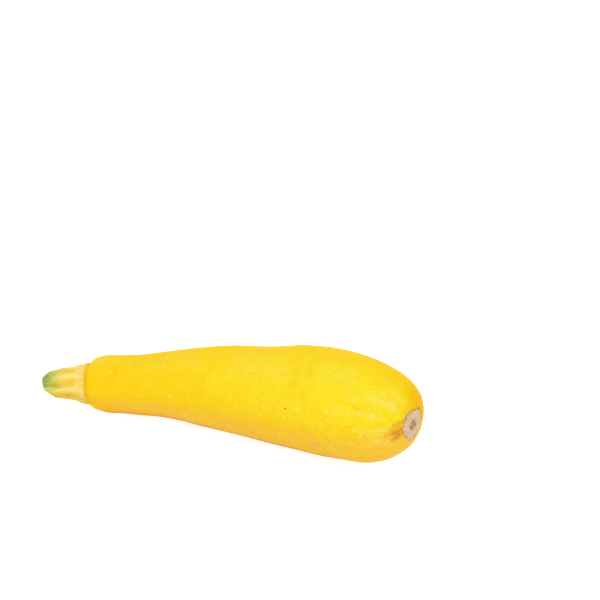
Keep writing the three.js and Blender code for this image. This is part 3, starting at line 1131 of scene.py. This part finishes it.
class ZucchiniFruit(bpy.types.PropertyGroup):
    """The fruit's shape and the colours of its rind."""

    length: length("Length", "Along the spine, from the stem joint to the scar's rim", 0.163)
    bow: turn("Bow", "How far the spine turns over its length", 32.4)
    neck_height: length("Neck height", "The spine's height over the table at the stem joint", 0.01215)
    climb: turn("Climb", "The spine's slope up to the blossom end", 5.95)
    lobe_at_neck: share("Lobes at the neck", "Height of the lobes, as a share of the radius", 0.016)
    lobe_at_end: share("Lobes at the end", "Height of the lobes, as a share of the radius", 0.004)
    sectors: count("Sectors", "Points in each ring of the skin", 192)
    # Lemon is also painted light on the side facing up and to the front; elsewhere it is the paler
    # mottle.
    lemon: colour("Lemon", "The crown of the rind", 250, 226, 40)
    gold: colour("Gold", "The sides of the rind", 253, 204, 14)
    # Painted shade and painted bounce light from the table on the low side.
    low_side_painted_shade: colour("Ground side", "The side that lies low", 255, 202, 71)
    # A painted warm reflection over the top of the rind.
    top_painted_reflection: colour("Glow", "The golden top of the rind", 254, 211, 0)
    # Painted shade along the underside.
    shade: colour("Shade", "The underside's tanner strip", 214, 146, 52)
    # Orange is also painted shade in the crease at the stem and in a dent, and a painted warm reflection
    # at the blossom end and along the top.
    orange: colour("Orange", "The crease at the stem, grain and deeper blotches", 251, 184, 10)
    pale: colour("Pale", "The palest threads of the rind", 254, 232, 90)
    # Painted sheen on the near side; paler patches at random on the far side.
    sheen_and_bloom: colour("Bloom", "Soft pale patches of the rind", 250, 240, 160)
    # Also the painted sheen lines among the pale streaks.
    fleck: colour("Flecks", "Pale flecks on the rind", 254, 241, 146)
    bruise: colour("Bruise", "The pinkish bruise low on the belly", 238, 182, 128)
    scratch: colour("Scratches", "Fine healed scratches", 226, 140, 60)
    scuff: colour("Scuff", "The brown scuff beside the scar", 226, 146, 54)
    scuff_core: colour("Scuff core", "The darkest part of the scuff", 178, 106, 60)
    spot: colour("Spots", "Pits and dark spots", 88, 52, 12)
    sheen: colour("Sheen", "The colour of the rind's soft gloss", 255, 236, 170)
    translucency: share("Translucency", "How much light spreads under the rind", 0.06)


class ZucchiniScar(bpy.types.PropertyGroup):
    """The blossom scar's place and colours."""

    aside: length("Aside", "How far the scar sits sideways from the spine's end", -0.0006)
    drop: length("Drop", "How far the scar sits below the spine's end", 0.0005)
    slant: share("Slant", "How far the scar's face is turned to +Y, as a slope", 0.056)
    sectors: count("Sectors", "Points in each ring of the scar", 200)
    cork: colour("Cork", "The dry cork of the scar", 228, 204, 168)
    cork_dark: colour("Dark cork", "Darker parts of the cork", 219, 188, 148)
    pink: colour("Pink", "The pinkish nubs of the rim", 238, 200, 174)
    tan: colour("Tan", "The hollow of the navel", 200, 158, 112)
    brown: colour("Brown", "The navel's folds", 142, 92, 44)
    # Painted shade in the notches of the scar's rim.
    notch: colour("Notch", "The notches of the rim", 184, 122, 58)


class ZucchiniStem(bpy.types.PropertyGroup):
    """The stem stub's shape and colours."""

    reach: length("Reach", "From the joint to the end of the stem's spine", 0.025)
    drop: length("Drop", "How far that end lies under the joint", 0.002)
    lift: length("Lift", "How far the free stem rides above its spine", 0.00045)
    cut_at: length("Cut at", "How far out the knife's cut crosses the spine", 0.0161)
    cut_faces: FloatVectorProperty(
        name="Cut faces", description="The way the cut faces",
        default=(-0.8, 0.18, -0.57), subtype="DIRECTION",
    )
    rows: count("Rows", "Rings of points from the joint to the cut", 80)
    sectors: count("Sectors", "Points in each ring of the stem", 200)
    yellow: colour("Yellow", "Between the ribs", 250, 213, 80)
    pale: colour("Pale", "The ribs and lighter streaks", 253, 229, 116)
    # Deep yellow is also painted shade in the crease at the stem's foot.
    deep: colour("Deep yellow", "The valleys near the fruit", 249, 202, 42)
    # Tan is painted shade on the stem's low side and collar; on the cut it marks the raised bundles.
    tan: colour("Tan", "The low side of the stem", 236, 188, 70)
    collar: colour("Collar", "The band where the stem meets the fruit", 252, 217, 108)
    knob: colour("Knobs", "The knobs of the collar and flecks on the ribs", 254, 230, 172)
    green: colour("Green", "The stem towards its tip", 192, 206, 106)
    dark_green: colour("Dark green", "Streaks near the tip and the rim of the cut", 116, 152, 66)
    spot: colour("Spot", "A small dark spot", 130, 84, 20)
    pith: colour("Pith", "The inside of the cut", 224, 220, 164)


class ZucchiniStage(bpy.types.PropertyGroup):
    """The camera, the lamps and the table."""

    lens: FloatProperty(name="Lens", description="The camera's focal length", default=90, unit="CAMERA")
    azimuth: turn("Azimuth", "The side that the camera looks from, turned from -Y to +X", 22.19)
    elevation: turn("Elevation", "How steeply the camera looks down", 28)
    distance: length("Distance", "From the camera to the place it looks at", 0.8139)
    look_at: FloatVectorProperty(
        name="Look at", description="The place on the table that the camera looks at",
        default=(-0.0192, 0.1291, 0), subtype="XYZ", unit="LENGTH",
    )
    surround: share("Surround", "Strength of the white surround's light", 0.91)
    over_power: power("Overhead lamp", "Power of the broad lamp overhead", 0.4)
    back_power: power("Back lamp", "Power of the low lamp behind", 0.6)
    front_power: power("Front lamp", "Power of the low lamp in front", 1.15)
    floor_size: length("Table size", "Length of the table's sides", 6)
    floor_colour: colour("Table", "The colour of the table", 237, 237, 237)
    floor_lift: share("Table lift", "Light added where the table itself is seen", 0.75)


# ---- Operators ----


class ZUCCHINI_OT_stage(bpy.types.Operator):
    """Sets up the camera, the lamps, the white surround and the table"""

    bl_idname = "zucchini.stage"
    bl_label = "Build Stage"

    def execute(self, context):
        stage = context.scene.zucchini_stage
        context.scene.view_settings.view_transform = "Standard"
        make_camera(stage)
        make_world(stage)
        make_floor(stage)
        add_lamp("over_lamp", at=(-0.05, -0.05, 0.85), size=(1.0, 0.8), power=stage.over_power)
        add_lamp("back_lamp", at=(-0.1, 0.9, 0.35), size=(0.8, 0.35), power=stage.back_power)
        add_lamp("front_lamp", at=(0.25, -0.9, 0.22), size=(0.8, 0.35), power=stage.front_power)
        return {"FINISHED"}


class ZUCCHINI_OT_fruit(bpy.types.Operator):
    """Builds the fruit's skin"""

    bl_idname = "zucchini.fruit"
    bl_label = "Build Fruit"

    def execute(self, context):
        fruit, scar = context.scene.zucchini_fruit, context.scene.zucchini_scar
        rings = fruit_rings(fruit, scar)
        piece = make_piece("fruit_skin", rings, {0: rind_finish(fruit)}, "fruit")
        return {"FINISHED"}


class ZUCCHINI_OT_scar(bpy.types.Operator):
    """Builds the corky blossom scar at the fruit's end"""

    bl_idname = "zucchini.scar"
    bl_label = "Build Blossom Scar"

    def execute(self, context):
        fruit, scar = context.scene.zucchini_fruit, context.scene.zucchini_scar
        rings = scar_rings(fruit, scar)
        piece = make_piece("blossom_scar", rings, {0: scar_finish(scar)}, "fruit")
        return {"FINISHED"}


class ZUCCHINI_OT_stem(bpy.types.Operator):
    """Builds the ribbed stem stub with its knife cut"""

    bl_idname = "zucchini.stem"
    bl_label = "Build Stem"

    def execute(self, context):
        fruit, stem = context.scene.zucchini_fruit, context.scene.zucchini_stem
        skin = stem_rings(fruit, stem)
        cut = cut_rings(stem, *skin[:2])
        rings = [np.concatenate(parts) for parts in zip(skin, cut)]
        finishes = {0: stem_finish(stem), len(skin[0]) - 1: cut_finish(stem)}
        piece = make_piece("stem_stub", rings, finishes, "stem")
        return {"FINISHED"}


class ZUCCHINI_PT_sidebar(bpy.types.Panel):
    """Lists the zucchini's operators"""

    bl_label = "Yellow Zucchini"
    bl_space_type = "VIEW_3D"
    bl_region_type = "UI"
    bl_category = "Zucchini"

    def draw(self, context):
        for operator in OPERATORS:
            self.layout.operator(operator.bl_idname)


SETTINGS = {
    "zucchini_fruit": ZucchiniFruit,
    "zucchini_scar": ZucchiniScar,
    "zucchini_stem": ZucchiniStem,
    "zucchini_stage": ZucchiniStage,
}
OPERATORS = (ZUCCHINI_OT_stage, ZUCCHINI_OT_fruit, ZUCCHINI_OT_scar, ZUCCHINI_OT_stem)
CLASSES = (*SETTINGS.values(), *OPERATORS, ZUCCHINI_PT_sidebar)


def register():
    for kind in CLASSES:
        bpy.utils.register_class(kind)
    for name, kind in SETTINGS.items():
        setattr(bpy.types.Scene, name, PointerProperty(type=kind))


def unregister():
    for name in SETTINGS:
        delattr(bpy.types.Scene, name)
    for kind in reversed(CLASSES):
        bpy.utils.unregister_class(kind)


def main():
    register()
    bpy.ops.zucchini.stage()
    bpy.ops.zucchini.fruit()
    bpy.ops.zucchini.scar()
    bpy.ops.zucchini.stem()


if __name__ == "__main__":
    main()
